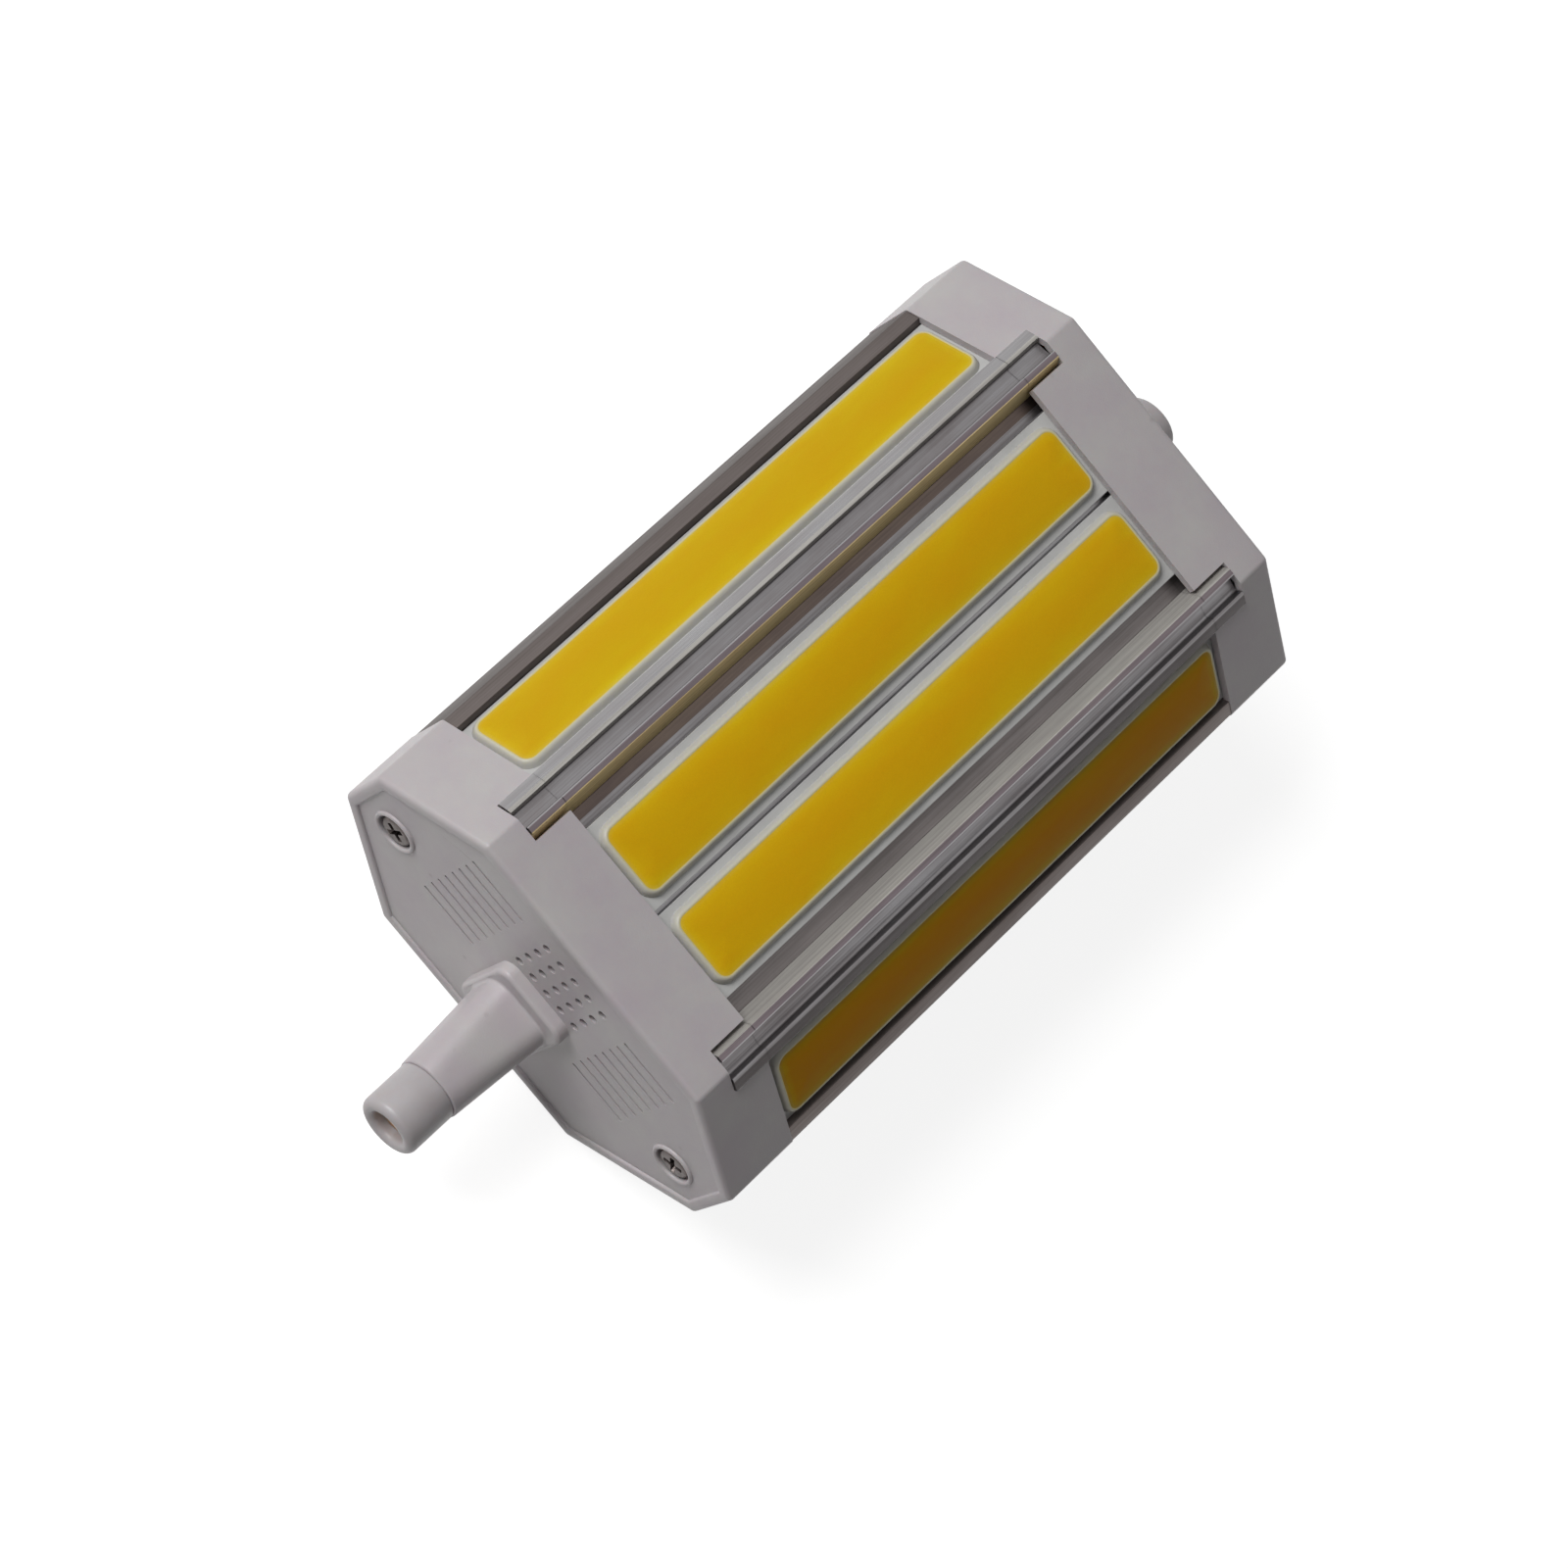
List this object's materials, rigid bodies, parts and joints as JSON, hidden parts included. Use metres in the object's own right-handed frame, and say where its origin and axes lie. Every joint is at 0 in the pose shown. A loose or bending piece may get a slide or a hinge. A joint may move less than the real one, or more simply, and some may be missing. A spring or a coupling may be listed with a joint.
{
  "type": "double-ended led lamp",
  "caption": "Double-ended LED corn lamp: long yellow light strips on the upper faces of an octagonal aluminium body, vented plastic end caps and a round contact tip at either end.",
  "frame": {"origin": "under the middle of the whole length, on the flat undersides of the end caps", "axes": "+X from the front contact tip to the rear one, +Z out of the face with the light strips, +Y to the left seen from the front tip"},
  "size_m": [0.118, 0.0542, 0.0319],
  "materials": {
    "heatsink": "satin, extruded",
    "cap": "fine matte, moulded",
    "tip": "smooth matte",
    "contact": "bright",
    "screw": "dull zinc",
    "board": "white coated",
    "tape": "soft matte",
    "dam": "satin",
    "phosphor": "satin, slightly translucent",
    "sleeve": "satin film",
    "circuit": "satin lacquer",
    "ferrite": "matte",
    "bobbin": "moulded",
    "winding": "wrapped tape",
    "capacitor": "printed film over a can",
    "film_capacitor": "dipped gloss",
    "chip": "moulded",
    "fuse": "lacquered",
    "choke": "matte",
    "contact_lead": "silicone insulation",
    "strip_lead": "silicone insulation"
  },
  "bodies": {
    "root": {"bridge_rectifier": "chip", "cap_screw_front_left": "screw", "cap_screw_front_right": "screw", "cap_screw_rear_left": "screw", "cap_screw_rear_right": "screw", "circuit_board": "circuit", "contact_lead_front": "contact_lead", "contact_lead_rear": "contact_lead", "contact_stud_front": "contact", "contact_stud_rear": "contact", "contact_tip_front": "tip", "contact_tip_rear": "tip", "controller_chip": "chip", "dam_left": "dam", "dam_right": "dam", "dam_top_left": "dam", "dam_top_right": "dam", "drum_choke": "choke", "end_cap_front": "cap", "end_cap_rear": "cap", "film_capacitor": "film_capacitor", "fuse_resistor": "fuse", "heatsink": "heatsink", "input_capacitor": "capacitor", "insulating_sleeve": "sleeve", "led_board_left": "board", "led_board_right": "board", "led_board_top_left": "board", "led_board_top_right": "board", "output_capacitor": "capacitor", "phosphor_left": "phosphor", "phosphor_right": "phosphor", "phosphor_top_left": "phosphor", "phosphor_top_right": "phosphor", "strip_jumper_front": "strip_lead", "strip_jumper_rear_left": "strip_lead", "strip_jumper_rear_right": "strip_lead", "strip_lead_left": "strip_lead", "strip_lead_right": "strip_lead", "thermal_tape_left": "tape", "thermal_tape_right": "tape", "thermal_tape_top_left": "tape", "thermal_tape_top_right": "tape", "transformer_bobbin": "bobbin", "transformer_core": "ferrite", "transformer_winding": "winding"}
  },
  "joints": []
}
